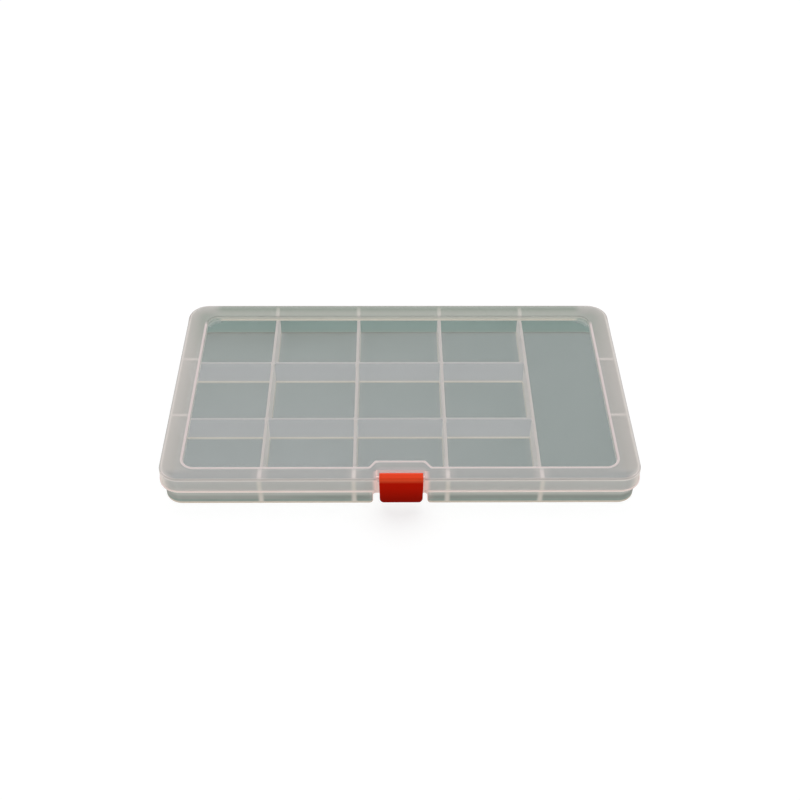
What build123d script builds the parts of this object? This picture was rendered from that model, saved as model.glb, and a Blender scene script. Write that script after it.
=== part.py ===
"""Flat box with a hinged lid and thirteen fixed compartments, for beads and small craft parts.

Three mouldings clip together. The tray is one piece with its floor, walls and dividers. The lid
has a raised hollow border around a sunken panel, a skirt that ends in a small bead, and two hooks
that run on bars moulded behind the tray.
The latch clips on a bar moulded across a notch in the lid's front border, and its ridge hooks
under a lip that stands forward from the tray's front wall.

Lengths are in millimetres. X runs along the box, Y from the latch side (-) to the hinge side (+)
and Z up. The origin is the centre of the tray's underside.
"""

import os
from math import cos, radians, sin

from build123d import *

# ---- The closed box ----
LENGTH = 200.0  # lid, outside, along X, without the bead around its foot
DEPTH = 116.0  # the same along Y
HEIGHT = 16.0  # from the underside to the top of the lid's border
LID_CORNER = 9.0  # radius of the lid's outer corners, in plan
SKIN = 1.2  # thickness of both clear mouldings

# ---- Tray ----
COLUMNS = 5
ROWS = 3  # in every column but the last, which is one long compartment
COLUMN_PITCH = 38.8  # between the dividers; the end columns are a little wider
COLUMN_SHIFT = 0.2  # the dividers' middle lies this far to the right of the tray's
ROW_PITCH = 37.3
ROW_SHIFT = 0.4  # and this far behind it
TRAY_INSET = 1.5  # from the lid's outside to the tray's outside
TRAY_HEIGHT = 12.65  # walls and dividers end just under the lid's panel
CELL_CORNER = 0.8  # radius of the compartments' upright corners
BASE_EDGE = 0.8  # rounding around the underside
RECESS_HALF = 11.4  # half the width of the latch's recess in the front wall
RECESS_DEPTH = 5.6  # how far the recess runs back from the tray's front
RECESS_CORNER = 1.4
LIP_HALF = 7.5  # half the width of the lip that the latch hooks under
LIP_REACH = 5.2  # how far the lip stands forward of the recess's wall
LIP_BOTTOM = 5.6
LIP_THICKNESS = 1.4
LIP_LEAD = 0.5  # chamfer on the lip's upper front edge

# ---- Lid ----
SKIRT_BOTTOM = 8.65  # the skirt hangs to this height
TOP_EDGE = 1.0  # rounding of the border's outer edge
BEAD_REACH = 0.4  # the bead around the skirt's foot stands out by this
BEAD_HEIGHT = 0.85
BEAD_EDGE = 0.25  # rounding under the bead
PANEL_DROP = 2.0  # the panel lies this far below the border
BORDER_SIDE = 9.5  # width of the border at each end
BORDER_FRONT = 7.5
BORDER_BACK = 8.7
PANEL_CORNER = 5.0
STEP_EDGE = 0.4  # rounding above and below the step from the border to the panel
RIB = 1.2  # ribs that close the hollow border at each divider's line
NOTCH_HALF = 10.0  # half the width of the latch's notch
NOTCH_DEPTH = 5.5
NOTCH_WALL = 0.9
JOG_DEPTH = 3.6  # the panel's outline steps back by this around the notch
JOG_HALF_BACK = 10.5
JOG_HALF_FRONT = 13.1
JOG_CORNER = 1.2

# ---- Hinge, behind the box ----
HINGE_BEHIND = 0.9  # axis behind the lid's rear face
HINGE_Z = 9.0
BAR_RADIUS = 1.1
HOOK_BORE = 1.18  # runs on the bar
HOOK_RADIUS = 2.1
HOOK_WIDTH = 15.0
HOOK_MOUTH = 100.0  # degrees, the open side that snaps over the bar
EAR_RADIUS = 2.0
EAR_WIDTH = 1.6
EAR_FOOT = 4.5  # each ear slopes down the wall to this height
EAR_SPACING = 24.0  # between the centres of a station's two ears
EAR_SLOT = 0.6  # clearance beside each ear in the lid's rear skirt
SKIRT_NOTCH = 2.5  # height of the rear skirt's cut-out over each station

# ---- Latch ----
LATCH_WIDTH = 18.2  # at the top
LATCH_FOOT_WIDTH = 17.7
LATCH_SIDE = 0.35  # it rests this far to the right of the notch's middle
LATCH_FRONT = 0.8  # stands this far in front of the lid
LATCH_PLATE = 1.7
LATCH_BOTTOM = 2.8
LATCH_SHOULDER = 2.0  # rounding between the top and the front
LATCH_LOWER_CORNER = 2.6
LATCH_UPPER_CORNER = 0.9
LATCH_FOOT_EDGE = 0.5
PIVOT_Y = 2.85  # axis behind the lid's front face
PIVOT_DROP = 2.1  # axis below the border's top, and the knuckle's radius
PIVOT_BAR = 0.9
PIVOT_BORE = 0.96
PIVOT_MOUTH = 1.5  # slot behind the knuckle that snaps over the bar
RIDGE_REACH = 1.8
RIDGE_TOP = 5.5
RIDGE_TIP = 0.7  # height of the ridge's flat tip
RIDGE_FOOT = 3.3

# ---- Worked out from these ----
TRAY_LENGTH = LENGTH - 2 * TRAY_INSET
TRAY_DEPTH = DEPTH - 2 * TRAY_INSET
TRAY_CORNER = LID_CORNER - TRAY_INSET
COLUMN_LINES = [COLUMN_SHIFT + COLUMN_PITCH * (i - COLUMNS / 2) for i in range(1, COLUMNS)]
ROW_LINES = [ROW_SHIFT + ROW_PITCH * (i - ROWS / 2) for i in range(1, ROWS)]

LID_FRONT = -DEPTH / 2
LID_BACK = DEPTH / 2
TRAY_FRONT = -TRAY_DEPTH / 2
TRAY_BACK = TRAY_DEPTH / 2
PANEL_TOP = HEIGHT - PANEL_DROP
PANEL_UNDER = PANEL_TOP - SKIN
BORDER_UNDER = HEIGHT - SKIN
RECESS_WALL = TRAY_FRONT + RECESS_DEPTH
HINGE_Y = LID_BACK + HINGE_BEHIND
STATIONS = [COLUMN_LINES[0], COLUMN_LINES[-1]]
LATCH_Y = LID_FRONT - LATCH_FRONT
PIVOT = (LID_FRONT + PIVOT_Y, HEIGHT - PIVOT_DROP)
MERGE = 0.4  # added features start this far inside the wall that carries them


def tray_plan(inset):
    """Draws the tray's plan, set in by a wall's thickness, with its recess for the latch."""
    RectangleRounded(TRAY_LENGTH - 2 * inset, TRAY_DEPTH - 2 * inset, TRAY_CORNER - inset)
    with Locations((0, TRAY_FRONT)):
        Rectangle(2 * (RECESS_HALF + inset), 2 * (RECESS_DEPTH + inset), mode=Mode.SUBTRACT)


def off_the_corners(vertex):
    """True for a vertex that isn't where one of the plan's round corners begins."""
    straight_x = abs(vertex.X) < TRAY_LENGTH / 2 - TRAY_CORNER - SKIN
    straight_y = abs(vertex.Y) < TRAY_DEPTH / 2 - TRAY_CORNER - SKIN
    return straight_x or straight_y


def ear_profile():
    """Draws a hinge ear from the side: round about the axis, with a foot that slopes to the wall."""
    wall = TRAY_BACK - MERGE
    with Locations((HINGE_Y, HINGE_Z)):
        Circle(EAR_RADIUS)
    Polygon(
        (wall, HINGE_Z + EAR_RADIUS),
        (wall, EAR_FOOT),
        (HINGE_Y, HINGE_Z - EAR_RADIUS),
        (HINGE_Y, HINGE_Z + EAR_RADIUS),
        align=None,
    )


def hook_profile():
    """Draws a lid hook from the side: a ring on the bar, open below, hung from the rear skirt."""
    half_mouth = radians(HOOK_MOUTH / 2)
    reach = 2 * HOOK_RADIUS
    with Locations((LID_BACK - SKIN / 2, HINGE_Z + SKIRT_NOTCH / 2 + MERGE / 2)):
        Rectangle(SKIN, SKIRT_NOTCH + MERGE)
    with Locations((HINGE_Y, HINGE_Z)):
        Circle(HOOK_RADIUS)
        Circle(HOOK_BORE, mode=Mode.SUBTRACT)
    Polygon(
        (HINGE_Y, HINGE_Z),
        (HINGE_Y - reach * sin(half_mouth), HINGE_Z - reach * cos(half_mouth)),
        (HINGE_Y + reach * sin(half_mouth), HINGE_Z - reach * cos(half_mouth)),
        align=None,
        mode=Mode.SUBTRACT,
    )


# ---- Tray: floor, walls and dividers in one moulding ----
with BuildPart() as tray:
    with BuildSketch() as footprint:
        tray_plan(0)
        fillet(footprint.vertices().filter_by(off_the_corners), RECESS_CORNER)
    extrude(amount=TRAY_HEIGHT)
    fillet(tray.faces().sort_by(Axis.Z)[0].edges(), BASE_EDGE)

    with BuildSketch(Plane.XY.offset(SKIN)) as cells:
        tray_plan(SKIN)
        with Locations([(x, 0) for x in COLUMN_LINES]):
            Rectangle(SKIN, TRAY_DEPTH, mode=Mode.SUBTRACT)
        with Locations([((COLUMN_LINES[-1] - TRAY_LENGTH / 2) / 2, y) for y in ROW_LINES]):
            Rectangle(COLUMN_LINES[-1] + TRAY_LENGTH / 2, SKIN, mode=Mode.SUBTRACT)
        fillet(cells.vertices().filter_by(off_the_corners), CELL_CORNER)
    extrude(amount=TRAY_HEIGHT, mode=Mode.SUBTRACT)

    # The lip that the latch hooks under
    with BuildSketch(Plane.YZ) as lip:
        with BuildLine():
            lip_front = RECESS_WALL - LIP_REACH
            lip_top = LIP_BOTTOM + LIP_THICKNESS
            Polyline(
                (RECESS_WALL + MERGE, LIP_BOTTOM),
                (lip_front, LIP_BOTTOM),
                (lip_front, lip_top - LIP_LEAD),
                (lip_front + LIP_LEAD, lip_top),
                (RECESS_WALL + MERGE, lip_top),
                close=True,
            )
        make_face()
    extrude(amount=LIP_HALF, both=True)

    # Two hinge stations: a pair of ears with a bar between them
    for station in STATIONS:
        for side in (-1, 1):
            ear_middle = station + side * EAR_SPACING / 2
            with BuildSketch(Plane.YZ.offset(ear_middle - EAR_WIDTH / 2)):
                ear_profile()
            extrude(amount=EAR_WIDTH)
        with BuildSketch(Plane.YZ.offset(station - EAR_SPACING / 2)):
            with Locations((HINGE_Y, HINGE_Z)):
                Circle(BAR_RADIUS)
        extrude(amount=EAR_SPACING)

# ---- Lid: sunken panel, raised hollow border, skirt, hooks and the latch's bar ----
with BuildSketch() as panel:
    with Locations((0, (BORDER_FRONT - BORDER_BACK) / 2)):
        RectangleRounded(
            LENGTH - 2 * BORDER_SIDE, DEPTH - BORDER_FRONT - BORDER_BACK, PANEL_CORNER
        )
    panel_front = LID_FRONT + BORDER_FRONT
    Polygon(
        (-JOG_HALF_FRONT, panel_front),
        (-JOG_HALF_BACK, panel_front + JOG_DEPTH),
        (JOG_HALF_BACK, panel_front + JOG_DEPTH),
        (JOG_HALF_FRONT, panel_front),
        align=None,
        mode=Mode.SUBTRACT,
    )
    fillet(
        panel.vertices().filter_by(lambda v: abs(v.X) < LENGTH / 2 - BORDER_SIDE - PANEL_CORNER),
        JOG_CORNER,
    )

with BuildPart() as lid:
    with BuildSketch(Plane.XY.offset(SKIRT_BOTTOM)):
        RectangleRounded(LENGTH, DEPTH, LID_CORNER)
    extrude(amount=HEIGHT - SKIRT_BOTTOM)
    fillet(lid.faces().sort_by(Axis.Z)[-1].edges(), TOP_EDGE)
    with BuildSketch(Plane.XY.offset(SKIRT_BOTTOM)):
        RectangleRounded(LENGTH + 2 * BEAD_REACH, DEPTH + 2 * BEAD_REACH, LID_CORNER + BEAD_REACH)
    extrude(amount=BEAD_HEIGHT)
    fillet(lid.faces().sort_by(Axis.Z)[0].edges(), BEAD_EDGE)

    # The hollow inside the skirt, around the block that becomes the notch's walls
    with BuildSketch(Plane.XY.offset(SKIRT_BOTTOM)):
        RectangleRounded(LENGTH - 2 * SKIN, DEPTH - 2 * SKIN, LID_CORNER - SKIN)
        with Locations((0, LID_FRONT)):
            Rectangle(
                2 * (NOTCH_HALF + NOTCH_WALL), 2 * (NOTCH_DEPTH + NOTCH_WALL), mode=Mode.SUBTRACT
            )
    extrude(amount=PANEL_UNDER - SKIRT_BOTTOM, mode=Mode.SUBTRACT)

    # The channel under the border, with a rib left at each divider's line
    with BuildSketch(Plane.XY.offset(PANEL_UNDER)):
        RectangleRounded(LENGTH - 2 * SKIN, DEPTH - 2 * SKIN, LID_CORNER - SKIN)
        with Locations((0, LID_FRONT)):
            Rectangle(
                2 * (NOTCH_HALF + NOTCH_WALL), 2 * (NOTCH_DEPTH + NOTCH_WALL), mode=Mode.SUBTRACT
            )
        offset(panel.sketch, amount=SKIN, mode=Mode.SUBTRACT)
        with Locations([(x, 0) for x in COLUMN_LINES]):
            Rectangle(RIB, DEPTH, mode=Mode.SUBTRACT)
        with Locations([(0, y) for y in ROW_LINES]):
            Rectangle(LENGTH, RIB, mode=Mode.SUBTRACT)
    extrude(amount=BORDER_UNDER - PANEL_UNDER, mode=Mode.SUBTRACT)

    # The sunken panel
    with BuildSketch(Plane.XY.offset(PANEL_TOP)):
        add(panel.sketch)
    extrude(amount=PANEL_DROP, mode=Mode.SUBTRACT)
    fillet(lid.faces().sort_by(Axis.Z)[-1].inner_wires()[0].edges(), STEP_EDGE)
    fillet(lid.faces().filter_by(Axis.Z).sort_by(Axis.Z)[-2].edges(), STEP_EDGE)

    # The latch's notch, and the bar across it
    with BuildSketch(Plane.XY.offset(SKIRT_BOTTOM)):
        with Locations((0, LID_FRONT)):
            Rectangle(2 * NOTCH_HALF, 2 * NOTCH_DEPTH)
    extrude(amount=HEIGHT - SKIRT_BOTTOM, mode=Mode.SUBTRACT)
    with BuildSketch(Plane.YZ):
        with Locations(PIVOT):
            Circle(PIVOT_BAR)
    extrude(amount=NOTCH_HALF + MERGE, both=True)

    # The rear skirt is cut away over each hinge station, and a hook hangs in the gap
    with BuildSketch(Plane.XY.offset(SKIRT_BOTTOM)):
        with Locations([(x, LID_BACK) for x in STATIONS]):
            Rectangle(EAR_SPACING + EAR_WIDTH + 2 * EAR_SLOT, 4 * SKIN)
    extrude(amount=SKIRT_NOTCH, mode=Mode.SUBTRACT)
    for station in STATIONS:
        with BuildSketch(Plane.YZ.offset(station - HOOK_WIDTH / 2)):
            hook_profile()
        extrude(amount=HOOK_WIDTH)

# ---- Latch: a plate with a knuckle above and a ridge inside ----
with BuildPart() as latch:
    with BuildSketch(Plane.YZ.offset(LATCH_SIDE)) as latch_side:
        plate_back = LATCH_Y + LATCH_PLATE
        with BuildLine():
            Polyline(
                (LATCH_Y, LATCH_BOTTOM),
                (LATCH_Y, HEIGHT - LATCH_SHOULDER),
            )
            RadiusArc(
                (LATCH_Y, HEIGHT - LATCH_SHOULDER),
                (LATCH_Y + LATCH_SHOULDER, HEIGHT),
                LATCH_SHOULDER,
            )
            Polyline(
                (LATCH_Y + LATCH_SHOULDER, HEIGHT),
                (PIVOT[0], HEIGHT),
                (PIVOT[0], PIVOT[1] - PIVOT_DROP),
                (plate_back, PIVOT[1] - PIVOT_DROP),
                (plate_back, RIDGE_TOP),
                (plate_back + RIDGE_REACH, RIDGE_TOP),
                (plate_back + RIDGE_REACH, RIDGE_TOP - RIDGE_TIP),
                (plate_back, RIDGE_FOOT),
                (plate_back, LATCH_BOTTOM),
                (LATCH_Y, LATCH_BOTTOM),
            )
        make_face()
        fillet(latch_side.vertices().group_by(Axis.Y)[0], LATCH_FOOT_EDGE)
        with Locations(PIVOT):
            Circle(PIVOT_DROP)
            Circle(PIVOT_BORE, mode=Mode.SUBTRACT)
        with Locations((PIVOT[0] + PIVOT_DROP, PIVOT[1])):
            Rectangle(2 * PIVOT_DROP, PIVOT_MOUTH, mode=Mode.SUBTRACT)
    extrude(amount=LATCH_WIDTH / 2, both=True)

    # Seen from the front it narrows to its foot, and its lower corners are the rounder ones
    with BuildSketch(Plane.XZ.offset(-LID_FRONT)) as latch_front:
        Polygon(
            (LATCH_SIDE - LATCH_WIDTH / 2, HEIGHT),
            (LATCH_SIDE - LATCH_FOOT_WIDTH / 2, LATCH_BOTTOM),
            (LATCH_SIDE + LATCH_FOOT_WIDTH / 2, LATCH_BOTTOM),
            (LATCH_SIDE + LATCH_WIDTH / 2, HEIGHT),
            align=None,
        )
        fillet(latch_front.vertices().group_by(Axis.Y)[-1], LATCH_UPPER_CORNER)
        fillet(latch_front.vertices().group_by(Axis.Y)[0], LATCH_LOWER_CORNER)
    extrude(amount=DEPTH / 4, both=True, mode=Mode.INTERSECT)

os.makedirs("parts", exist_ok=True)
for name, piece in (("tray", tray), ("lid", lid), ("latch", latch)):
    piece.part.label = name
    export_step(piece.part, f"parts/{name}.step")
    print(f"{name}: {piece.part.volume / 1000:.2f} cm3")
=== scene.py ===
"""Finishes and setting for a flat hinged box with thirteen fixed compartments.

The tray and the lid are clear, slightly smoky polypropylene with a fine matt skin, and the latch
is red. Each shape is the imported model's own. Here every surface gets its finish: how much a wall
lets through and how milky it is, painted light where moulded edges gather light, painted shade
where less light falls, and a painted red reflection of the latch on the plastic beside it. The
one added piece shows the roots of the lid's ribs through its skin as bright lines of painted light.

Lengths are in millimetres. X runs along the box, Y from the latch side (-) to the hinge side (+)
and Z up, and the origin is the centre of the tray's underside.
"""

import logging
import math
from dataclasses import dataclass
from enum import Enum

import bpy
import numpy as np
from mathutils import Matrix, Vector


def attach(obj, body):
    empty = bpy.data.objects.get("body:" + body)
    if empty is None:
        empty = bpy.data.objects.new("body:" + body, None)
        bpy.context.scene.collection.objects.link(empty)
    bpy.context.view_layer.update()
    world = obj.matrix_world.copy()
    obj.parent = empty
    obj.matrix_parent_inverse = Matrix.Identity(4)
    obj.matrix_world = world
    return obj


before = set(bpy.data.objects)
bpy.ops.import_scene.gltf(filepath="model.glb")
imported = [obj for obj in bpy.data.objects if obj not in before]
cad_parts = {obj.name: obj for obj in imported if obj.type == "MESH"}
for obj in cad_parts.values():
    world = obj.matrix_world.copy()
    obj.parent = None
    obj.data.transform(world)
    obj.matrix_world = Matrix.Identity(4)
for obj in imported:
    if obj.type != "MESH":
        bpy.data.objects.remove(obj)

log = logging.getLogger("scene")
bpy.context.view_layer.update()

METRES = 0.001  # in one millimetre
POLYPROPYLENE_IOR = 1.49
NOISE_MIDDLE = 0.5
CLEAR_LAYERS = 48  # surfaces that a low view through every wall of the box may pass
Colour = tuple[float, float, float]
WHITE: Colour = (1.0, 1.0, 1.0)


class Ray(Enum):
    """The kinds of ray that the materials and the world tell apart: Light Path outputs."""

    CAMERA = "Is Camera Ray"
    GLOSSY = "Is Glossy Ray"
    TRANSMISSION = "Is Transmission Ray"
    SHADOW = "Is Shadow Ray"
    DIFFUSE = "Is Diffuse Ray"


SEEN = (Ray.CAMERA, Ray.GLOSSY, Ray.TRANSMISSION)  # rays that see, beside those that only light


# ---- Node arithmetic ----


@dataclass(frozen=True)
class Span:
    """The stretch over which a mask runs out.

    The mask is 1 as far as full and 0 from none on, whichever of the two is the larger.
    """

    full: float
    none: float


UPRIGHT = Span(0.35, 0.7)  # the normal's Z, from walls to level faces


@dataclass(frozen=True)
class Field:
    """A number that changes over a surface, carried by one socket of a node tree."""

    nodes: "Nodes"
    socket: bpy.types.NodeSocket

    def math(self, operation: str, *others: "Field | float") -> "Field":
        """Applies one of the Math node's operations.

        Args:
            operation: the Math node's name for it.
            others: the operands that follow this one.

        Returns:
            The result as a new field.
        """
        node = self.nodes.add("ShaderNodeMath")
        node.operation = operation
        for into, value in zip(node.inputs, (self, *others)):
            self.nodes.feed(into, value)
        return Field(self.nodes, node.outputs[0])

    def __add__(self, other: "Field | float") -> "Field":
        """This plus other."""
        return self.math("ADD", other)

    def __sub__(self, other: "Field | float") -> "Field":
        """This less other."""
        return self.math("SUBTRACT", other)

    def __mul__(self, other: "Field | float") -> "Field":
        """This times other."""
        return self.math("MULTIPLY", other)

    def __neg__(self) -> "Field":
        """This with its sign turned."""
        return self.math("MULTIPLY", -1.0)

    def __invert__(self) -> "Field":
        """What this mask leaves: 1 less it."""
        return -self + 1.0

    def __abs__(self) -> "Field":
        """This without its sign."""
        return self.math("ABSOLUTE")

    def least(self, other: "Field | float") -> "Field":
        """The smaller of this and other."""
        return self.math("MINIMUM", other)

    def most(self, other: "Field | float") -> "Field":
        """The larger of this and other."""
        return self.math("MAXIMUM", other)

    def toward(self, goal: float, share: "Field") -> "Field":
        """This, moved towards the goal by a share from 0 to 1."""
        return self + (-self + goal) * share

    def over(self, span: Span) -> "Field":
        """A smooth mask from this field.

        Args:
            span: the values at which the mask is 1 and has gone to 0.

        Returns:
            The mask, with a smoothstep between the two values.
        """
        node = self.nodes.add("ShaderNodeMapRange")
        node.interpolation_type = "SMOOTHSTEP"
        ends = sorted((span.full, span.none))
        masks = (1.0, 0.0) if span.full < span.none else (0.0, 1.0)
        for name, value in zip(("From Min", "From Max", "To Min", "To Max"), (*ends, *masks)):
            node.inputs[name].default_value = value
        self.nodes.feed(node.inputs["Value"], self)
        return Field(self.nodes, node.outputs["Result"])


class Nodes:
    """A node tree to build in: a material's or the world's."""

    def __init__(self, tree: bpy.types.NodeTree) -> None:
        """Empties the tree.

        Args:
            tree: the node tree.
        """
        self.tree = tree
        self.tree.nodes.clear()

    def add(self, kind: str) -> bpy.types.Node:
        """A new node of that kind."""
        return self.tree.nodes.new(kind)

    def feed(self, into: bpy.types.NodeSocket, value: object) -> None:
        """Links a field or an output to an input, or sets the input's plain value.

        Args:
            into: the input socket.
            value: a Field, an output socket, a number or a colour.
        """
        if isinstance(value, Field):
            value = value.socket
        if isinstance(value, bpy.types.NodeSocket):
            self.tree.links.new(value, into)
        elif isinstance(value, tuple):
            into.default_value = (*value, 1.0)
        else:
            into.default_value = value

    def ray(self, *kinds: Ray) -> Field:
        """Tells some rays from the others.

        Args:
            kinds: the kinds of ray to tell.

        Returns:
            1 for rays of any of these kinds, and 0 for the rest.
        """
        paths = self.add("ShaderNodeLightPath")
        result = Field(self, paths.outputs[kinds[0].value])
        for kind in kinds[1:]:
            result = result.most(Field(self, paths.outputs[kind.value]))
        return result


class Graph(Nodes):
    """One material's node tree.

    It has x, y and z of the surface in millimetres, upright, which is 1 where the surface stands
    upright and 0 where it lies level, and level, which is the rest of upright.
    """

    def __init__(self, name: str) -> None:
        """Makes an empty material.

        Args:
            name: the material's name.
        """
        self.material = bpy.data.materials.new(name)
        self.material.use_nodes = True
        super().__init__(self.material.node_tree)
        self.output = self.add("ShaderNodeOutputMaterial")
        coordinates = self.add("ShaderNodeTexCoord")
        self.place = coordinates.outputs["Object"]
        scale = self.add("ShaderNodeVectorMath")
        scale.operation = "SCALE"
        scale.inputs["Scale"].default_value = 1.0 / METRES
        self.feed(scale.inputs[0], self.place)
        split = self.add("ShaderNodeSeparateXYZ")
        self.feed(split.inputs[0], scale.outputs[0])
        self.x, self.y, self.z = (Field(self, socket) for socket in split.outputs)
        facing = self.add("ShaderNodeSeparateXYZ")
        self.feed(facing.inputs[0], coordinates.outputs["Normal"])
        self.upright = abs(Field(self, facing.outputs["Z"])).over(UPRIGHT)
        self.level = ~self.upright

    def blend(self, share: Field, start: object, end: object) -> bpy.types.NodeSocket:
        """Mixes two colours.

        Args:
            share: 0 for start and 1 for end.
            start: a colour or an output.
            end: a colour or an output.

        Returns:
            The mixed colour's socket.
        """
        node = self.add("ShaderNodeMix")
        node.data_type = "RGBA"
        named = {socket.identifier: socket for socket in node.inputs}
        self.feed(named["Factor_Float"], share)
        self.feed(named["A_Color"], start)
        self.feed(named["B_Color"], end)
        return next(socket for socket in node.outputs if socket.identifier == "Result_Color")

    def layer(self, share: object, under: object, over: object) -> bpy.types.NodeSocket:
        """Mixes two shaders.

        Args:
            share: 0 for under and 1 for over.
            under: a shader's output.
            over: a shader's output.

        Returns:
            The mixed shader's socket.
        """
        node = self.add("ShaderNodeMixShader")
        for into, value in zip(node.inputs, (share, under, over)):
            self.feed(into, value)
        return node.outputs[0]

    def noise(self, pitch: float, detail: float = 2.0) -> Field:
        """Smooth noise about 0.5.

        Args:
            pitch: the size of its patches, in millimetres.
            detail: how many finer octaves it holds.

        Returns:
            The noise as a field.
        """
        node = self.add("ShaderNodeTexNoise")
        self.feed(node.inputs["Vector"], self.place)
        node.inputs["Scale"].default_value = 1.0 / (pitch * METRES)
        node.inputs["Detail"].default_value = detail
        return Field(self, node.outputs[0])

    def mottle(self, pitch: float, change: float) -> Field:
        """Smooth patches of that pitch about 0, which span up to the change."""
        return (self.noise(pitch) - NOISE_MIDDLE) * change

    def grain(self, pitch: float, height: float) -> bpy.types.NodeSocket:
        """The matt skin of a moulding.

        Args:
            pitch: the size of its grains, in millimetres.
            height: how far they stand out, in millimetres.

        Returns:
            The bumped normal's socket.
        """
        bump = self.add("ShaderNodeBump")
        bump.inputs["Distance"].default_value = height * METRES
        self.feed(bump.inputs["Height"], self.noise(pitch, detail=1.0))
        return bump.outputs[0]


def rounded_box(
    graph: Graph, half: tuple[float, float], corner: float, middle: tuple[float, float] = (0.0, 0.0)
) -> Field:
    """Distance from a rounded rectangle's outline in plan, negative inside it.

    With q the distance of the point past the rectangle less its corner radius, on each axis, the
    distance is the length of q's positive part, plus q's larger part where that is negative, less
    the radius.

    Args:
        graph: the material's graph.
        half: half the rectangle's length and depth.
        corner: its corners' radius.
        middle: the x and y of its centre.

    Returns:
        The signed distance in millimetres.
    """
    past_x = abs(graph.x - middle[0]) - (half[0] - corner)
    past_y = abs(graph.y - middle[1]) - (half[1] - corner)
    out_x = past_x.most(0.0)
    out_y = past_y.most(0.0)
    outside = (out_x * out_x + out_y * out_y).math("SQRT")
    return outside + past_x.most(past_y).least(0.0) - corner


def surface(name: str, points: np.ndarray) -> bpy.types.Object:
    """Makes an object out of one or more grids of points.

    Points (i, j), (i + 1, j), (i + 1, j + 1) and (i, j + 1) of a grid make one face.

    Args:
        name: the object's name.
        points: an array of grids x rows x columns x 3, in millimetres.

    Returns:
        The object, linked to the scene.
    """
    grids, rows, columns, _ = points.shape
    number = np.arange(grids * rows * columns).reshape(grids, rows, columns)
    corner = number[:, :-1, :-1].ravel()
    faces = np.stack([corner, corner + columns, corner + columns + 1, corner + 1], -1)
    mesh = bpy.data.meshes.new(name)
    mesh.from_pydata((points * METRES).reshape(-1, 3).tolist(), [], faces.tolist())
    made = bpy.data.objects.new(name, mesh)
    bpy.context.scene.collection.objects.link(made)
    return made


# ---- Sizes ----


@dataclass(frozen=True)
class BoxPlan:
    """The box's driving sizes, as the model has them."""

    length: float = 200.0
    depth: float = 116.0
    lid_corner: float = 9.0
    skin: float = 1.2
    tray_inset: float = 1.5
    border_side: float = 9.5  # the lid's border, from its outside to the panel
    border_front: float = 7.5
    border_back: float = 8.7
    border_fade: float = 6.0  # over which the rear border's look runs out
    columns: int = 5
    column_pitch: float = 38.8
    column_shift: float = 0.2  # the dividers' middle is this far to the right of the tray's
    row_pitch: float = 37.3
    row_shift: float = 0.4  # and this far behind it

    @property
    def lid_half(self) -> tuple[float, float]:
        """Half the lid's length and depth."""
        return self.length / 2, self.depth / 2

    @property
    def tray_half(self) -> tuple[float, float]:
        """Half the tray's length and depth."""
        return self.length / 2 - self.tray_inset, self.depth / 2 - self.tray_inset

    @property
    def last_column(self) -> float:
        """The x of the last column divider's middle plane."""
        return self.column_pitch * (self.columns / 2 - 1) + self.column_shift

    @property
    def column_lines(self) -> list[float]:
        """The x of each column divider's middle plane."""
        return [self.last_column - self.column_pitch * step for step in range(self.columns - 1)]

    @property
    def row_lines(self) -> list[float]:
        """The y of both row dividers' middle planes."""
        return [self.row_shift - self.row_pitch / 2, self.row_shift + self.row_pitch / 2]

    def from_columns(self, graph: Graph) -> Field:
        """Distance from the nearest column divider's middle plane.

        Args:
            graph: the material's graph.

        Returns:
            The distance in millimetres.
        """
        half_pitch = self.column_pitch / 2
        along = graph.x - self.column_shift
        inner = -along.math("PINGPONG", half_pitch) + half_pitch
        return inner.most(abs(along) - (self.last_column - self.column_shift))

    def from_rows(self, graph: Graph) -> Field:
        """Distance from the nearest row divider's middle plane."""
        return abs(abs(graph.y - self.row_shift) - self.row_pitch / 2)

    def from_end(self, graph: Graph) -> Field:
        """Distance in from the lid's nearer end."""
        return -abs(graph.x) + self.length / 2

    def from_front(self, graph: Graph) -> Field:
        """Distance in from the lid's front."""
        return graph.y + self.depth / 2

    def from_back(self, graph: Graph) -> Field:
        """Distance in from the lid's back."""
        return -graph.y + self.depth / 2

    def at_rear(self, graph: Graph) -> Field:
        """1 over the border behind the panel, and 0 farther to the front."""
        return self.from_back(graph).over(Span(self.border_back, self.border_back + self.border_fade))


# ---- Finishes ----


@dataclass(frozen=True)
class Tint:
    """One look that a stretch of clear plastic takes.

    The colour is what its skin scatters back, and where a tint's comment says so it is painted
    light or painted shade. The haze is the share of the view through it that this covers.
    """

    colour: Colour
    haze: float


Tints = list[tuple[Field, Tint]]  # masks and what they bring, in the order they are laid


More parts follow.
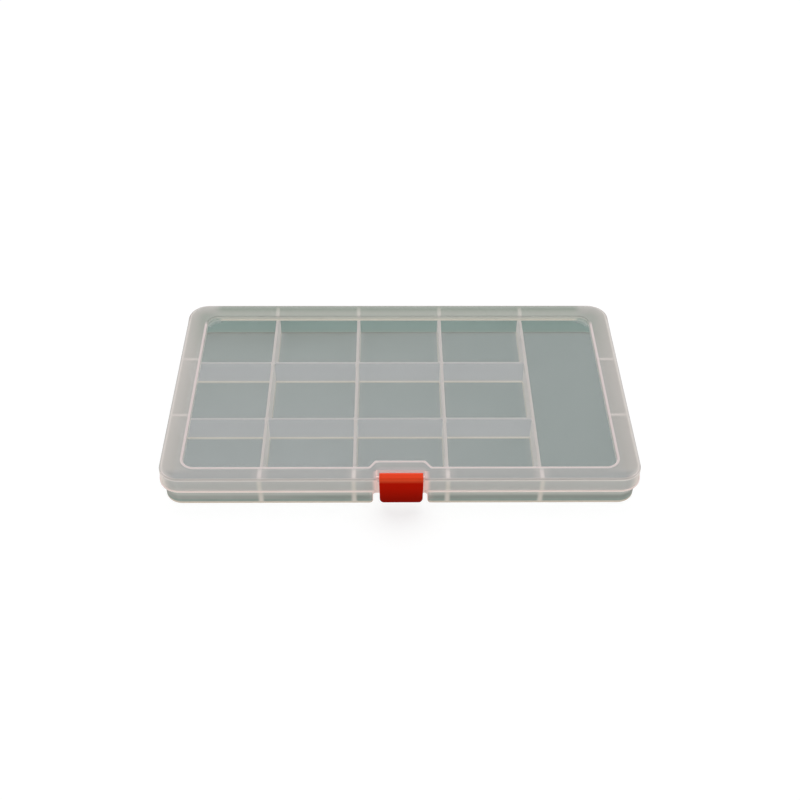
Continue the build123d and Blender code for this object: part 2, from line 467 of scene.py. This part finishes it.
@dataclass(frozen=True)
class ClearPlastic:
    """Smoky clear polypropylene with a fine matt skin, milkier where walls and edges gather light; along
    edges that light is painted.
    """

    passed: Colour  # what one surface lets the eye see through it
    base: Tint
    spread: Colour = (0.955, 0.96, 0.955)  # what one surface lets through to light others
    lit_behind: float = 0.7  # share of an upright wall's glow that comes from behind it
    roughness: float = 0.34
    specular: float = 0.25
    mottle_pitch: float = 26.0
    mottle: float = 0.05
    grain_pitch: float = 0.35
    grain: float = 0.012  # height of the matt skin's grain

    def dress(self, graph: Graph, tints: Tints) -> None:
        """Builds the shader.

        Args:
            graph: the material's graph.
            tints: masks and the tints they bring, each laid over those before it.
        """
        haze = graph.mottle(self.mottle_pitch, self.mottle) + self.base.haze
        tone = self.base.colour
        for mask, tint in tints:
            haze = haze.toward(tint.haze, mask)
            tone = graph.blend(mask, tone, tint.colour)

        skin = graph.add("ShaderNodeBsdfPrincipled")
        graph.feed(skin.inputs["Base Color"], tone)
        skin.inputs["Roughness"].default_value = self.roughness
        skin.inputs["IOR"].default_value = POLYPROPYLENE_IOR
        skin.inputs["Specular IOR Level"].default_value = self.specular
        graph.feed(skin.inputs["Normal"], graph.grain(self.grain_pitch, self.grain))
        glow = graph.add("ShaderNodeBsdfTranslucent")
        graph.feed(glow.inputs["Color"], tone)
        film = graph.layer(graph.upright * self.lit_behind, skin.outputs[0], glow.outputs[0])

        seen_through = graph.add("ShaderNodeBsdfTransparent")
        graph.feed(seen_through.inputs["Color"], self.passed)
        lit_through = graph.add("ShaderNodeBsdfTransparent")
        graph.feed(lit_through.inputs["Color"], self.spread)
        seen = graph.layer(haze, seen_through.outputs[0], film)
        lights = graph.ray(Ray.SHADOW, Ray.DIFFUSE)
        graph.feed(graph.output.inputs[0], graph.layer(lights, seen, lit_through.outputs[0]))


@dataclass(frozen=True)
class RedPlastic:
    """Opaque red polypropylene with a soft moulded gloss, more orange on top with painted sheen,
    a painted highlight along its shoulder, and deeper at its foot with painted shade.
    """

    colour: Colour = (0.89, 0.012, 0.0)
    # painted sheen makes the top more orange, and a painted highlight brightens the shoulder
    sheen_top_colour: Colour = (0.77, 0.052, 0.013)
    highlight_shoulder_colour: Colour = (1.0, 0.086, 0.028)
    top: Span = Span(15.95, 15.55)  # heights, as the next two; where the top's painted sheen starts
    shoulder: Span = Span(15.4, 14.2)
    # painted shade: darkest at the foot, gone by the top of the front
    foot: Span = Span(1.5, 14.0)
    painted_foot_shade: float = 0.55  # how dark the painted shade at its foot is, against its middle
    roughness: float = 0.36
    roughness_change: float = 0.1
    specular: float = 0.03
    mottle_pitch: float = 5.0
    mottle: float = 0.08
    grain_pitch: float = 0.30
    grain: float = 0.010

    def dress(self, graph: Graph) -> None:
        """Builds the shader.

        Args:
            graph: the material's graph.
        """
        # random tone, darkened towards the foot as painted shade
        shade = graph.mottle(self.mottle_pitch, self.mottle) + 1.0
        shade = shade.toward(self.painted_foot_shade, graph.z.over(self.foot))
        # painted highlight along the shoulder, then painted sheen on top
        front = graph.blend(graph.z.over(self.shoulder), self.colour, self.highlight_shoulder_colour)
        tone = graph.add("ShaderNodeVectorMath")
        tone.operation = "SCALE"
        graph.feed(tone.inputs[0], graph.blend(graph.z.over(self.top), front, self.sheen_top_colour))
        graph.feed(tone.inputs["Scale"], shade)
        roughness = graph.mottle(self.grain_pitch, self.roughness_change) + self.roughness

        body = graph.add("ShaderNodeBsdfPrincipled")
        graph.feed(body.inputs["Base Color"], tone.outputs[0])
        graph.feed(body.inputs["Roughness"], roughness)
        body.inputs["IOR"].default_value = POLYPROPYLENE_IOR
        body.inputs["Specular IOR Level"].default_value = self.specular
        graph.feed(body.inputs["Normal"], graph.grain(self.grain_pitch, self.grain))
        graph.feed(graph.output.inputs[0], body.outputs[0])


def wear(node: str, graph: Graph) -> None:
    """Gives a CAD node this graph's material in every slot."""
    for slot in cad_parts[node].material_slots:
        slot.material = graph.material


# ---- The three mouldings ----


@dataclass(frozen=True)
class Latch:
    """The red latch, and the outline from which its painted red reflection on the plastic beside it is
    measured.
    """

    plan: BoxPlan
    finish: RedPlastic
    half_width: float = 9.1
    corner: float = 1.0
    side: float = 0.35  # how far it sits to the right of its notch's middle
    reach: float = 5.0  # from the lid's front face to the back of its knuckle
    pivot_in: float = 3.55  # from the lid's front face in to the pins it turns on

    def distance(self, graph: Graph) -> Field:
        """Distance in plan from the latch's outline."""
        middle = (self.side, -self.plan.depth / 2)
        return rounded_box(graph, (self.half_width, self.reach), self.corner, middle)

    def dress(self) -> None:
        """Gives the latch its finish."""
        graph = Graph("red_polypropylene")
        self.finish.dress(graph)
        wear("latch", graph)


@dataclass(frozen=True)
class LidMasks:
    """Distances and masks over the lid that several of its areas share."""

    panel: Field  # distance from the sunken panel's outline, negative over the panel
    inside: Field  # distance in from the lid's own outline
    from_rib: Field  # distance from the middle of the nearest rib on a column divider's line
    raised: Field  # 1 above the panel
    rear: Field  # 1 over the border behind the panel
    border: Field  # 1 on the border's top
    ends: Field  # 1 on the border beside the panel's ends, without its front
    corners: Field  # 1 on the border's front corners


@dataclass(frozen=True)
class LidBorder:
    """The looks of the border's top, from its middle out to its rim, much of it painted light and shade.
    """

    top: Tint = Tint((0.403, 0.398, 0.395), 0.48)
    # painted glow on the border's top beside the ribs
    glow: Tint = Tint((0.52, 0.485, 0.465), 0.55)
    rear: Tint = Tint((0.425, 0.432, 0.388), 0.60)
    # painted shade along the border's rear edge
    shaded_rear_edge: Tint = Tint((0.22, 0.27, 0.215), 0.60)
    flank: Tint = Tint((0.462, 0.445, 0.422), 0.60)
    # painted shade over the right end of the border and towards the rear of both ends
    shaded_right_flank: Tint = Tint((0.42, 0.395, 0.375), 0.60)
    shaded_rear_flank: Tint = Tint((0.355, 0.365, 0.325), 0.60)
    # painted light towards the ends' outer sides, and painted highlights along their edges and at the
    # front corners
    flank_side: Tint = Tint((0.515, 0.48, 0.455), 0.70)
    flank_edge: Tint = Tint((0.63, 0.59, 0.56), 0.85)
    corner_edge: Tint = Tint((0.64, 0.585, 0.555), 0.80)
    # the ribs' lines across the border: partly the ribs themselves, partly painted light along them
    rib_crest: Tint = Tint((0.60, 0.545, 0.53), 0.58)
    # painted highlights along the rounded rim, brightest at the ends and the front corners
    rim: Tint = Tint((0.72, 0.66, 0.625), 0.78)
    end_rim: Tint = Tint((0.60, 0.575, 0.555), 0.80)
    corner_rim: Tint = Tint((0.86, 0.785, 0.75), 0.88)
    # painted shade on the rim along the back
    rear_rim: Tint = Tint((0.42, 0.375, 0.35), 0.80)
    # how strong the painted glow beside the ribs is
    glow_share: float = 0.45
    # how strong the painted shade over the right end and the rear of the ends is
    flank_share: float = 0.35
    # how strong the painted light along the ribs' lines is
    crest_share: float = 0.8
    beside_rib: Span = Span(0.8, 4.5)  # distances from a rib's middle
    over_rib: Span = Span(0.35, 1.3)
    near_back: Span = Span(1.6, 7.0)  # distances in from the outline, down to at_rim
    near_side: Span = Span(1.5, 8.5)
    at_side: Span = Span(0.8, 1.9)
    at_corner: Span = Span(0.8, 3.4)
    at_rim: Span = Span(0.6, 1.1)
    rearward: Span = Span(52.0, 16.0)  # Y
    rearmost: Span = Span(50.0, 10.0)  # Y
    rightward: Span = Span(20.0, -20.0)  # X

    def tints(self, graph: Graph, masks: LidMasks) -> Tints:
        """The border's tints.

        Args:
            graph: the material's graph.
            masks: where the lid's areas lie.

        Returns:
            Masks and their tints, in the order they are laid.
        """
        border, ends, rear, inside = masks.border, masks.ends, masks.rear, masks.inside
        crest = masks.from_rib.over(self.over_rib) * self.crest_share
        # the rim, where painted highlights and painted shade are laid
        edge = inside.over(self.at_rim) * masks.raised
        return [
            (border, self.top),
            (border * masks.from_rib.over(self.beside_rib) * self.glow_share, self.glow),
            (border * rear, self.rear),
            (border * rear * inside.over(self.near_back), self.shaded_rear_edge),
            (ends, self.flank),
            (ends * graph.y.over(self.rearward), self.shaded_rear_flank),
            (ends * inside.over(self.near_side), self.flank_side),
            (ends * graph.x.over(self.rightward) * self.flank_share, self.shaded_right_flank),
            (ends * graph.y.over(self.rearmost) * self.flank_share, self.shaded_rear_flank),
            (ends * inside.over(self.at_side), self.flank_edge),
            (masks.corners * inside.over(self.at_corner), self.corner_edge),
            (border * ~rear * crest, self.rib_crest),
            (edge, self.rim),
            (edge * ends, self.end_rim),
            (edge * masks.corners, self.corner_rim),
            (edge * rear, self.rear_rim),
        ]


@dataclass(frozen=True)
class LidStep:
    """The looks of the step from the border down to the panel."""

    # painted highlight along the step's top edge
    line: Tint = Tint((0.655, 0.56, 0.55), 0.93)
    wall: Tint = Tint((0.56, 0.545, 0.51), 0.72)
    rear_wall: Tint = Tint((0.45, 0.44, 0.40), 0.65)
    rear_foot: Tint = Tint((0.58, 0.53, 0.45), 0.75)
    rear_corner: Tint = Tint((0.35, 0.39, 0.36), 0.55)
    corner_share: float = 0.8
    line_outer: Span = Span(1.0, 1.35)  # distances from the panel's outline, down to corner_side
    line_inner: Span = Span(0.0, -0.2)
    wall_side: Span = Span(1.3, 1.5)
    foot_side: Span = Span(0.8, 1.1)
    corner_side: Span = Span(1.2, 1.5)
    wall_height: Span = Span(13.0, 12.0)
    foot_height: Span = Span(13.5, 13.2)
    corner_height: Span = Span(14.5, 15.3)
    line_back: Span = Span(12.0, 15.5)  # distance from the back within which the line is left out
    corner_back: Span = Span(11.0, 14.5)  # distance from the back
    corner_end: Span = Span(13.5, 16.5)  # distance from the nearer end

    def tints(self, graph: Graph, plan: BoxPlan, masks: LidMasks) -> Tints:
        """The step's tints.

        Args:
            graph: the material's graph.
            plan: the box's sizes.
            masks: where the lid's areas lie.

        Returns:
            Masks and their tints, in the order they are laid.
        """
        from_back = plan.from_back(graph)
        beside = abs(masks.panel)
        line = masks.panel.over(self.line_outer) * masks.panel.over(self.line_inner)
        line = line * masks.raised * graph.level * ~from_back.over(self.line_back)
        wall = beside.over(self.wall_side) * graph.upright * graph.z.over(self.wall_height)
        foot = beside.over(self.foot_side) * ~masks.raised * graph.z.over(self.foot_height)
        corner = plan.from_end(graph).over(self.corner_end) * from_back.over(self.corner_back)
        corner = corner * beside.over(self.corner_side) * graph.z.over(self.corner_height)
        return [
            (line, self.line),
            (wall, self.wall),
            (wall * masks.rear, self.rear_wall),
            (foot * masks.rear, self.rear_foot),
            (corner * self.corner_share, self.rear_corner),
        ]


@dataclass(frozen=True)
class LidSkirt:
    """The looks of the skirt's walls and of the bead around its foot, with painted highlights on the bead
    and near the corners.
    """

    wall: Tint = Tint((0.412, 0.405, 0.393), 0.80)
    # painted highlight on the skirt near its corners
    corner: Tint = Tint((0.72, 0.64, 0.595), 0.90)
    # the ribs' lines on the skirt: partly the ribs themselves, partly painted light along them
    rib: Tint = Tint((0.53, 0.49, 0.455), 0.85)
    # painted highlight along the bead, as if it caught the light
    bead: Tint = Tint((0.79, 0.65, 0.62), 0.95)
    wall_inside: Span = Span(1.5, 1.9)  # distance in from the outline
    wall_height: Span = Span(14.7, 15.3)
    corner_end: Span = Span(0.5, 6.0)  # distance from the nearer end
    rib_side: Span = Span(0.2, 1.55)  # distance from a rib's middle
    bead_height: Span = Span(9.52, 9.6)

    def tints(self, graph: Graph, plan: BoxPlan, masks: LidMasks) -> Tints:
        """The skirt's tints.

        Args:
            graph: the material's graph.
            plan: the box's sizes.
            masks: where the lid's areas lie.

        Returns:
            Masks and their tints, in the order they are laid.
        """
        wall = graph.upright * masks.inside.over(self.wall_inside)
        wall = wall * graph.z.over(self.wall_height)
        return [
            (wall, self.wall),
            (wall * plan.from_end(graph).over(self.corner_end), self.corner),
            (wall * masks.from_rib.over(self.rib_side), self.rib),
            (graph.z.over(self.bead_height), self.bead),
        ]


@dataclass(frozen=True)
class LidNotch:
    """The looks of the lid beside the latch: a painted red reflection of the latch in the milky plastic.
    """

    # painted red reflection of the latch on the notch's top, its walls and its back wall
    top: Tint = Tint((0.68, 0.475, 0.455), 0.85)
    wall: Tint = Tint((0.80, 0.575, 0.535), 0.88)
    back_wall: Tint = Tint((0.51, 0.42, 0.42), 0.86)
    # painted light on the pins that the latch turns on
    pin: Tint = Tint((1.0, 0.74, 0.71), 0.95)
    top_loss: float = 0.8  # share of the top's painted red reflection that is missing behind the latch
    top_reach: Span = Span(1.0, 3.0)  # distances from the latch's outline, down to pin_reach
    wall_reach: Span = Span(1.2, 3.4)
    back_reach: Span = Span(1.0, 1.6)
    pin_reach: Span = Span(1.3, 1.5)
    behind: Span = Span(5.0, 4.6)  # distance from the front
    pin_side: Span = Span(1.5, 1.7)  # distance from the pins' middle, along Y
    pin_height: Span = Span(15.4, 15.6)

    def tints(self, graph: Graph, plan: BoxPlan, latch: Latch) -> Tints:
        """The tints around the latch: its painted red reflection, and painted light on its pins.

        Args:
            graph: the material's graph.
            plan: the box's sizes.
            latch: the latch in the notch.

        Returns:
            Masks and their tints, in the order they are laid.
        """
        from_latch = latch.distance(graph)
        from_front = plan.from_front(graph)
        behind = from_front.over(self.behind)
        top = from_latch.over(self.top_reach) * graph.level
        pin = abs(from_front - latch.pivot_in).over(self.pin_side) * graph.z.over(self.pin_height)
        return [
            (top * ~(behind * self.top_loss), self.top),
            (from_latch.over(self.wall_reach) * graph.upright, self.wall),
            (from_latch.over(self.back_reach) * graph.upright * behind, self.back_wall),
            (from_latch.over(self.pin_reach) * graph.level * pin, self.pin),
        ]


@dataclass(frozen=True)
class Lid:
    """The clear lid: a sunken panel inside a raised hollow border, with a skirt below."""

    plan: BoxPlan
    latch: Latch
    finish: ClearPlastic = ClearPlastic((0.85, 0.865, 0.857), Tint((0.60, 0.61, 0.61), 0.06))
    border: LidBorder = LidBorder()
    step: LidStep = LidStep()
    skirt: LidSkirt = LidSkirt()
    notch: LidNotch = LidNotch()
    panel_corner: float = 5.0
    jog_depth: float = 3.6
    jog_half_back: float = 10.5
    jog_half_front: float = 13.1
    jog_blend: float = 1.6
    raised: Span = Span(14.6, 14.3)  # height
    past_panel: Span = Span(0.1, 0.0)  # distance from the panel's outline
    end: Span = Span(7.0, 16.0)  # distances from the nearer end
    corner_end: Span = Span(1.5, 8.5)
    end_front: Span = Span(7.5, 3.2)  # distances from the front
    corner_front: Span = Span(2.0, 8.0)

    def panel_outline(self, graph: Graph) -> Field:
        """Distance from the sunken panel's outline, negative over the panel.

        The outline is a rounded rectangle less a trapezoid behind the latch, whose slanted sides
        run from the panel's front edge to the trapezoid's narrower back.

        Args:
            graph: the material's graph.

        Returns:
            The signed distance in millimetres.
        """
        plan = self.plan
        half = (
            plan.length / 2 - plan.border_side,
            (plan.depth - plan.border_front - plan.border_back) / 2,
        )
        middle = (0.0, (plan.border_front - plan.border_back) / 2)
        sheet = rounded_box(graph, half, self.panel_corner, middle)
        in_panel = plan.from_front(graph) - plan.border_front
        slant = math.atan2(self.jog_half_front - self.jog_half_back, self.jog_depth)
        across = (abs(graph.x) - self.jog_half_front) * math.cos(slant)
        side = across + in_panel * math.sin(slant)
        jog = side.math("SMOOTH_MAX", in_panel - self.jog_depth, self.jog_blend)
        return sheet.math("SMOOTH_MAX", -jog, self.jog_blend / 2)

    def masks(self, graph: Graph) -> LidMasks:
        """The distances and masks that the lid's areas share.

        Args:
            graph: the material's graph.

        Returns:
            Them, as fields of that graph.
        """
        plan = self.plan
        panel = self.panel_outline(graph)
        raised = graph.z.over(self.raised)
        border = raised * panel.over(self.past_panel)
        from_end = plan.from_end(graph)
        from_front = plan.from_front(graph)
        return LidMasks(
            panel=panel,
            inside=-rounded_box(graph, plan.lid_half, plan.lid_corner),
            from_rib=plan.from_columns(graph),
            raised=raised,
            rear=plan.at_rear(graph),
            border=border,
            ends=border * from_end.over(self.end) * from_front.over(self.end_front),
            corners=border * from_end.over(self.corner_end) * from_front.over(self.corner_front),
        )

    def tints(self, graph: Graph) -> Tints:
        """The lid's tints, from the border inwards, down the skirt and around the latch.

        Args:
            graph: the material's graph.

        Returns:
            Masks and their tints, in the order they are laid.
        """
        masks = self.masks(graph)
        return [
            *self.border.tints(graph, masks),
            *self.step.tints(graph, self.plan, masks),
            *self.skirt.tints(graph, self.plan, masks),
            *self.notch.tints(graph, self.plan, self.latch),
        ]

    def dress(self) -> None:
        """Gives the lid its finish."""
        graph = Graph("clear_lid")
        self.finish.dress(graph, self.tints(graph))
        wear("lid", graph)


@dataclass(frozen=True)
class RibRoots:
    """The lines where the lid's ribs meet the skin over them and show through it, drawn bright as painted
    light.
    """

    plan: BoxPlan
    # a bright milky sheet: painted light, brightest along each rib's middle and dimmer at the rear
    finish: ClearPlastic = ClearPlastic((0.85, 0.85, 0.85), Tint((0.90, 0.80, 0.76), 0.45))
    core: Tint = Tint((0.97, 0.85, 0.815), 0.95)
    rear_core: Tint = Tint((0.80, 0.72, 0.67), 0.95)
    width: float = 1.9  # where the ribs flare into the skin
    core_side: Span = Span(0.35, 0.85)  # distance from a rib's middle
    level: float = 14.85
    crown: float = 0.06
    cells: tuple[int, int] = (8, 6)  # along a rib and across it

    def points(self) -> np.ndarray:
        """The lines: one strip for each rib, low and crowned.

        With u from 0 to 1 along a rib and v from -1 to 1 across it, a strip's point lies u of the
        way from one end of the rib to the other, v half widths to the side, and the crown times
        1 - v squared above the root's level.

        Returns:
            The strips as grids of points, in millimetres.
        """
        plan = self.plan
        x, y = plan.lid_half
        front = (-y + plan.border_front - plan.skin, -y + plan.skin)
        back = (y - plan.border_back + plan.skin, y - plan.skin)
        inner, outer = x - plan.border_side + plan.skin, x - plan.skin
        runs = [[(line, y_end) for y_end in ends] for line in plan.column_lines for ends in (front, back)]
        runs += [
            [(sign * x_end, line) for x_end in (inner, outer)]
            for line in plan.row_lines
            for sign in (-1, 1)
        ]
        ends = np.array(runs)
        along = ends[:, 1] - ends[:, 0]
        aside = np.stack([-along[:, 1], along[:, 0]], -1) / np.linalg.norm(along, axis=-1, keepdims=True)
        u_steps = np.linspace(0.0, 1.0, self.cells[0] + 1)
        v_steps = np.linspace(-1.0, 1.0, self.cells[1] + 1)
        u, v = np.meshgrid(u_steps, v_steps, indexing="ij")
        flat = ends[:, 0, None, None] + u[..., None] * along[:, None, None]
        flat = flat + (v * self.width / 2)[..., None] * aside[:, None, None]
        height = self.level + self.crown * (1.0 - v**2)
        height = np.broadcast_to(height, flat.shape[:-1])[..., None]
        return np.concatenate([flat, height], -1)

    def dress(self) -> None:
        """Lays the lines, as painted light, in the lid's skin."""
        roots = surface("rib_roots", self.points())
        graph = Graph("rib_root_glow")
        past_border = -self.plan.from_end(graph) + self.plan.border_side
        off_column = self.plan.from_columns(graph).most(past_border)
        core = off_column.least(self.plan.from_rows(graph)).over(self.core_side)
        rear = self.plan.at_rear(graph)
        self.finish.dress(graph, [(core, self.core), (core * rear, self.rear_core)])
        roots.data.materials.append(graph.material)
        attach(roots, "lid")


@dataclass(frozen=True)
class Tray:
    """The clear tray: floor, walls and dividers in one moulding, with its shell around them."""

    plan: BoxPlan
    latch: Latch
    finish: ClearPlastic = ClearPlastic((0.605, 0.63, 0.63), Tint((0.745, 0.74, 0.77), 0.28))
    slow_floor: Tint = Tint((0.546, 0.595, 0.56), 0.31)
    rear_floor: Tint = Tint((0.308, 0.334, 0.299), 0.44)
    right_floor: Tint = Tint((0.412, 0.471, 0.458), 0.38)
    underside: Tint = Tint((0.65, 0.67, 0.67), 0.04)
    row: Tint = Tint((0.556, 0.545, 0.568), 0.85)
    column: Tint = Tint((0.815, 0.745, 0.735), 0.92)
    shell: Tint = Tint((0.285, 0.302, 0.275), 0.62)
    left_shell: Tint = Tint((0.36, 0.36, 0.335), 0.64)
    # painted light on the shell just below the lid's skirt
    lit_upper_shell: Tint = Tint((0.462, 0.47, 0.432), 0.70)
    low_shell: Tint = Tint((0.22, 0.26, 0.235), 0.85)
    rear_shell: Tint = Tint((0.257, 0.342, 0.316), 0.85)
    shell_top: Tint = Tint((0.40, 0.40, 0.38), 0.60)
    # painted highlights on the dividers' tops
    row_top: Tint = Tint((0.71, 0.65, 0.665), 0.90)
    column_top: Tint = Tint((0.84, 0.73, 0.72), 0.92)
    # the dividers' ends seen through the shell: partly the joins, partly painted light along them
    shell_rib: Tint = Tint((0.555, 0.495, 0.445), 0.80)
    # painted glow at the dividers' feet and on the floor beside them
    foot: Tint = Tint((0.78, 0.675, 0.61), 0.90)
    foot_glow: Tint = Tint((0.59, 0.573, 0.573), 0.45)
    foot_floor: Tint = Tint((0.713, 0.64, 0.58), 0.70)
    # painted light along the base's rounded edge
    base_edge: Tint = Tint((0.54, 0.46, 0.385), 0.85)
    # painted red reflection of the latch on the tray's recess beside it
    red_reflection_wall: Tint = Tint((0.74, 0.53, 0.49), 0.85)
    # how strong the painted glow beside the column dividers' feet is
    glow_share: float = 0.6
    divider_side: Span = Span(0.7, 1.0)  # distances from a divider's middle, down to foot_side
    rib_side: Span = Span(0.2, 1.7)
    glow_side: Span = Span(0.8, 3.8)
    foot_side: Span = Span(0.8, 1.2)
    shell_inside: Span = Span(1.4, 1.7)  # distances in from the tray's outline
    outer_inside: Span = Span(0.4, 0.8)
    edge_inside: Span = Span(1.0, 1.3)
    wall_height: Span = Span(1.25, 1.1)  # heights, down to underside_height
    top_height: Span = Span(12.55, 12.25)
    upper_height: Span = Span(6.2, 4.2)
    low_height: Span = Span(2.6, 3.6)
    foot_height: Span = Span(1.95, 2.25)
    over_floor: Span = Span(1.1, 0.9)
    under_foot: Span = Span(1.5, 1.8)
    edge_height: Span = Span(1.4, 1.7)
    underside_height: Span = Span(0.1, 0.4)
    slow_back: Span = Span(0.0, 96.667)  # distances from the lid's back
    rear_back: Span = Span(0.0, 24.0)
    shell_back: Span = Span(4.0, 6.0)
    rightward: Span = Span(70.0, -45.0)  # X
    leftward: Span = Span(-60.0, -30.0)  # X
    red_reflection_reach: Span = Span(3.0, 5.0)  # distance from the latch's outline

    def tints(self, graph: Graph) -> Tints:
        """The tray's tints, from its floor through its walls to its edges.

        Args:
            graph: the material's graph.

        Returns:
            Masks and their tints, in the order they are laid.
        """
        plan, z, upright = self.plan, graph.z, graph.upright
        from_back = plan.from_back(graph)
        from_column = plan.from_columns(graph)
        from_row = plan.from_rows(graph).most(graph.x - plan.last_column)
        near_column = from_column.over(self.divider_side)
        near_row = from_row.over(self.divider_side)
        inside = -rounded_box(graph, plan.tray_half, plan.lid_corner - plan.tray_inset)
        shell = inside.over(self.shell_inside)
        outside = inside.over(self.outer_inside)
        wall = upright * z.over(self.wall_height)
        at_top = z.over(self.top_height) * graph.level
        at_foot = z.over(self.foot_height) * ~shell
        floor_top = graph.level * z.over(self.over_floor) * z.over(self.under_foot)
        beside_foot = from_column.least(from_row).over(self.foot_side)
        edge = inside.over(self.edge_inside) * z.over(self.edge_height)
        return [
            (from_back.over(self.slow_back), self.slow_floor),
            (from_back.over(self.rear_back), self.rear_floor),
            (graph.x.over(self.rightward), self.right_floor),
            (graph.level * z.over(self.underside_height), self.underside),
            (wall * near_row, self.row),
            (wall * near_column, self.column),
            (upright * shell, self.shell),
            (upright * shell * graph.x.over(self.leftward), self.left_shell),
            (upright * shell * z.over(self.upper_height), self.lit_upper_shell),
            (outside * z.over(self.low_height), self.low_shell),
            (wall * shell * from_back.over(self.shell_back), self.rear_shell),
            (at_top * shell, self.shell_top),
            (at_top * near_row, self.row_top),
            (at_top * near_column, self.column_top),
            (wall * outside * from_column.over(self.rib_side), self.shell_rib),
            (wall * at_foot, self.foot),
            (from_column.over(self.glow_side) * floor_top * self.glow_share, self.foot_glow),
            (beside_foot * floor_top, self.foot_floor),
            (edge, self.base_edge),
            (self.latch.distance(graph).over(self.red_reflection_reach) * ~outside, self.red_reflection_wall),
        ]

    def dress(self) -> None:
        """Gives the tray its finish."""
        graph = Graph("clear_tray")
        self.finish.dress(graph, self.tints(graph))
        wear("tray", graph)


# ---- Setting ----


@dataclass(frozen=True)
class Studio:
    """A white floor that runs to the horizon, even light from all round, and a soft lamp above."""

    reach: float = 9000.0  # from the object to the floor's edge
    cells: int = 24
    drop: float = 0.1  # how far the floor lies below the base, so that the two don't coincide
    shadow_lift: float = 0.65  # share of the floor's whiteness that needs no light
    lift_strength: float = 1.07
    bounce: float = 0.40  # how bright the floor is as it lights the object
    sky: float = 0.45  # and how bright the light from all round is
    lamp: float = 2.25
    lamp_spread: float = 75.0  # degrees
    lamp_tilt: tuple[float, float] = (-45.0, 4.0)  # degrees about X and Y

    def floor(self) -> None:
        """Builds the floor: a square grid, whose point (u, v) lies at (u, v) times the reach."""
        steps = np.linspace(-1.0, 1.0, self.cells + 1)
        u, v = np.meshgrid(steps, steps, indexing="ij")
        level = np.full_like(u, -self.drop)
        sheet = surface("floor", np.stack([u * self.reach, v * self.reach, level], -1)[None])
        graph = Graph("floor_paper")
        seen = graph.ray(*SEEN)
        paper = graph.add("ShaderNodeBsdfDiffuse")
        graph.feed(paper.inputs["Color"], graph.blend(seen, (self.bounce,) * 3, WHITE))
        backlight = graph.add("ShaderNodeEmission")
        graph.feed(backlight.inputs["Color"], WHITE)
        backlight.inputs["Strength"].default_value = self.lift_strength
        lift = seen * self.shadow_lift
        graph.feed(graph.output.inputs[0], graph.layer(lift, paper.outputs[0], backlight.outputs[0]))
        sheet.data.materials.append(graph.material)

    def light(self) -> None:
        """Makes the even light from all round, white where it is seen, and the lamp above."""
        world = bpy.data.worlds.new("studio")
        bpy.context.scene.world = world
        world.use_nodes = True
        nodes = Nodes(world.node_tree)
        background = nodes.add("ShaderNodeBackground")
        nodes.feed(background.inputs["Color"], WHITE)
        nodes.feed(background.inputs["Strength"], nodes.ray(*SEEN) * (1.0 - self.sky) + self.sky)
        nodes.feed(nodes.add("ShaderNodeOutputWorld").inputs[0], background.outputs[0])

        data = bpy.data.lights.new("lamp", "SUN")
        data.energy = self.lamp
        data.angle = math.radians(self.lamp_spread)
        lamp = bpy.data.objects.new("lamp", data)
        tilt_x, tilt_y = (math.radians(angle) for angle in self.lamp_tilt)
        lamp.rotation_euler = (tilt_x, tilt_y, 0.0)
        bpy.context.scene.collection.objects.link(lamp)


@dataclass(frozen=True)
class Camera:
    """The camera: in front of the box and above it, looking down on it."""

    place: tuple[float, float, float] = (-4.814, -380.15, 356.38)
    tilt: float = 47.411  # degrees up from straight down
    turn: float = -0.774  # degrees about Z from straight along +Y
    roll: float = 0.451  # degrees about its own axis
    focal: float = 51.459
    sensor: float = 36.0

    def set_up(self) -> None:
        """Adds the camera to the scene."""
        data = bpy.data.cameras.new("camera")
        data.lens = self.focal
        data.sensor_width = self.sensor
        camera = bpy.data.objects.new("camera", data)
        turn = Matrix.Rotation(math.radians(self.turn), 4, "Z")
        tilt = Matrix.Rotation(math.radians(self.tilt), 4, "X")
        roll = Matrix.Rotation(math.radians(self.roll), 4, "Z")
        camera.matrix_world = Matrix.Translation(Vector(self.place) * METRES) @ turn @ tilt @ roll
        bpy.context.scene.collection.objects.link(camera)
        bpy.context.scene.camera = camera


def main() -> None:
    """Dresses each moulding in order, then builds the setting."""
    scene = bpy.context.scene
    scene.view_settings.view_transform = "Standard"
    scene.cycles.transparent_max_bounces = CLEAR_LAYERS

    plan = BoxPlan()
    latch = Latch(plan, RedPlastic())
    pieces = {
        "tray": Tray(plan, latch),
        "lid": Lid(plan, latch),
        "rib roots": RibRoots(plan),
        "latch": latch,
    }
    for name, piece in pieces.items():
        piece.dress()
        log.info("%s dressed", name)

    studio = Studio()
    studio.floor()
    log.info("floor ready")
    studio.light()
    log.info("light ready")
    Camera().set_up()
    log.info("camera ready")


if __name__ == "__main__":
    logging.basicConfig(level=logging.INFO, format="%(name)s: %(message)s")
    main()
